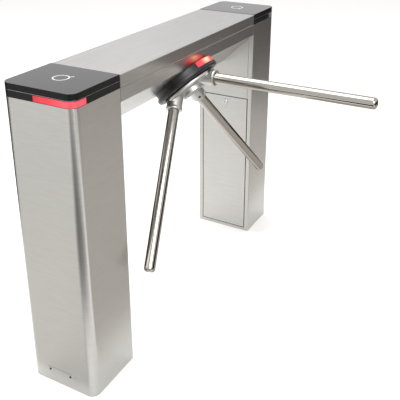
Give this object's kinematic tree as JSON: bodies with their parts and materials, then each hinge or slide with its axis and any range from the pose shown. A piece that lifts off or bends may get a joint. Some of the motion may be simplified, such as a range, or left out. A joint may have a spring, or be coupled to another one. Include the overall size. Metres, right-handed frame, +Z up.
{
  "type": "tripod turnstile",
  "caption": "Bridge type tripod turnstile with sheet steel posts, glossy caps with status lights and a tilted hub of tube arms, for counting visitors through an entrance.",
  "frame": {"origin": "on the floor, midway between the two posts, at the centre of the floor anchor holes", "axes": "+X along the bridge, -Y the side the arms stand out to, +Z up"},
  "size_m": [1.3531, 0.8747, 1],
  "materials": {
    "brushed_steel": "fine level brushing",
    "bridge_steel": "satin, brushed along the bridge",
    "polished_steel": "polished stainless tube",
    "black_glass": "gloss black, glass-like",
    "black_plastic": "satin black moulding",
    "seam_trim": "satin strip",
    "red_light": "translucent red, lit",
    "clear_light": "translucent smoke, unlit",
    "silver_mark": "printed silver",
    "cast_aluminium": "fine cast, satin",
    "zinc_steel": "zinc plated",
    "machined_steel": "turned",
    "base_steel": "galvanised plate",
    "nylon": "natural nylon",
    "circuit_board": "green solder mask",
    "black_screw": "blackened steel",
    "chrome_lock": "bright chrome",
    "plate_metal": "satin anodised"
  },
  "bodies": {
    "frame": {"base_plate_left": "base_steel", "base_plate_right": "base_steel", "bearing_housing": "cast_aluminium", "bearing_outer_rings": "machined_steel", "bridge_body": "bridge_steel", "bridge_bolts": "zinc_steel", "bridge_cover": "bridge_steel", "cap_glass_left": "black_glass", "cap_glass_right": "black_glass", "cap_ring_left": "black_plastic", "cap_ring_right": "black_plastic", "cap_seams": "seam_trim", "control_board": "circuit_board", "corner_lens_left": "red_light", "corner_lens_right": "clear_light", "cover_screws": "chrome_lock", "end_brackets": "base_steel", "hinge_brackets": "zinc_steel", "indicator_lens": "red_light", "mech_plate": "base_steel", "mechanism_screws": "zinc_steel", "nameplate": "plate_metal", "nameplate_screws": "black_screw", "plate_pillars": "zinc_steel", "position_sensor": "black_plastic", "post_shell_left": "brushed_steel", "post_shell_right": "brushed_steel", "power_supply": "zinc_steel", "reader_boards": "circuit_board", "reader_marks": "silver_mark", "rear_plate": "zinc_steel", "rotary_damper": "black_plastic", "shroud": "black_plastic", "solenoids": "zinc_steel", "upper_panel_left": "brushed_steel", "upper_panel_right": "brushed_steel"},
    "rotor": {"shaft": "machined_steel", "hub": "cast_aluminium", "hub_bolts": "zinc_steel", "arm_1": "polished_steel", "arm_2": "polished_steel", "arm_3": "polished_steel", "arm_end_caps": "polished_steel", "arm_screws": "black_screw", "shaft_spacers": "machined_steel", "drive_gear": "machined_steel", "index_disc": "machined_steel", "sensor_disc": "black_plastic", "bearing_inner_rings": "machined_steel"},
    "damper_pinion": {"damper_pinion": "nylon"},
    "pawl_left": {"pawl_left": "machined_steel"},
    "pawl_right": {"pawl_right": "machined_steel"},
    "plunger_left": {"plunger_left": "machined_steel"},
    "plunger_right": {"plunger_right": "machined_steel"},
    "door_left": {"door_left": "brushed_steel", "lock_body_left": "chrome_lock"},
    "door_right": {"door_right": "brushed_steel", "lock_body_right": "chrome_lock"},
    "lock_left": {"lock_plug_left": "chrome_lock"},
    "lock_right": {"lock_plug_right": "chrome_lock"}
  },
  "joints": [
    {"name": "rotor_spin", "type": "hinge", "parent": "frame", "child": "rotor", "pos_m": [0, -0.04768, 0.87088], "axis": [0, -0.682, -0.7314], "continuous": true},
    {"name": "damper_spin", "type": "hinge", "parent": "frame", "child": "damper_pinion", "pos_m": [0, 0.03992, 0.8767], "axis": [0, -0.682, -0.7314], "continuous": true},
    {"name": "pawl_left_swing", "type": "hinge", "parent": "frame", "child": "pawl_left", "pos_m": [-0.052, -0.02131, 0.96661], "axis": [0, -0.682, -0.7314], "range_deg": [0, 9]},
    {"name": "pawl_right_swing", "type": "hinge", "parent": "frame", "child": "pawl_right", "pos_m": [0.052, -0.02131, 0.96661], "axis": [0, 0.682, 0.7314], "range_deg": [0, 9]},
    {"name": "plunger_left_slide", "type": "slide", "parent": "frame", "child": "plunger_left", "axis": [1, 0, 0], "range_m": [0, 0.0098]},
    {"name": "plunger_right_slide", "type": "slide", "parent": "frame", "child": "plunger_right", "axis": [-1, 0, 0], "range_m": [0, 0.0098]},
    {"name": "door_left_tilt", "type": "hinge", "parent": "frame", "child": "door_left", "pos_m": [-0.471, 0, 0.026], "axis": [0, 1, 0], "range_deg": [0, 15]},
    {"name": "door_right_tilt", "type": "hinge", "parent": "frame", "child": "door_right", "pos_m": [0.471, 0, 0.026], "axis": [0, -1, 0], "range_deg": [0, 15]},
    {"name": "lock_left_turn", "type": "hinge", "parent": "door_left", "child": "lock_left", "pos_m": [-0.465, 0, 0.609], "axis": [1, 0, 0], "range_deg": [0, 90]},
    {"name": "lock_right_turn", "type": "hinge", "parent": "door_right", "child": "lock_right", "pos_m": [0.465, 0, 0.609], "axis": [1, 0, 0], "range_deg": [0, 90]}
  ],
  "couplings": [
    {"joint": "damper_spin", "follows": "rotor_spin", "ratio": -3},
    {"joint": "plunger_left_slide", "follows": "pawl_left_swing", "m_per_rad": 0.062},
    {"joint": "plunger_right_slide", "follows": "pawl_right_swing", "m_per_rad": 0.062}
  ]
}
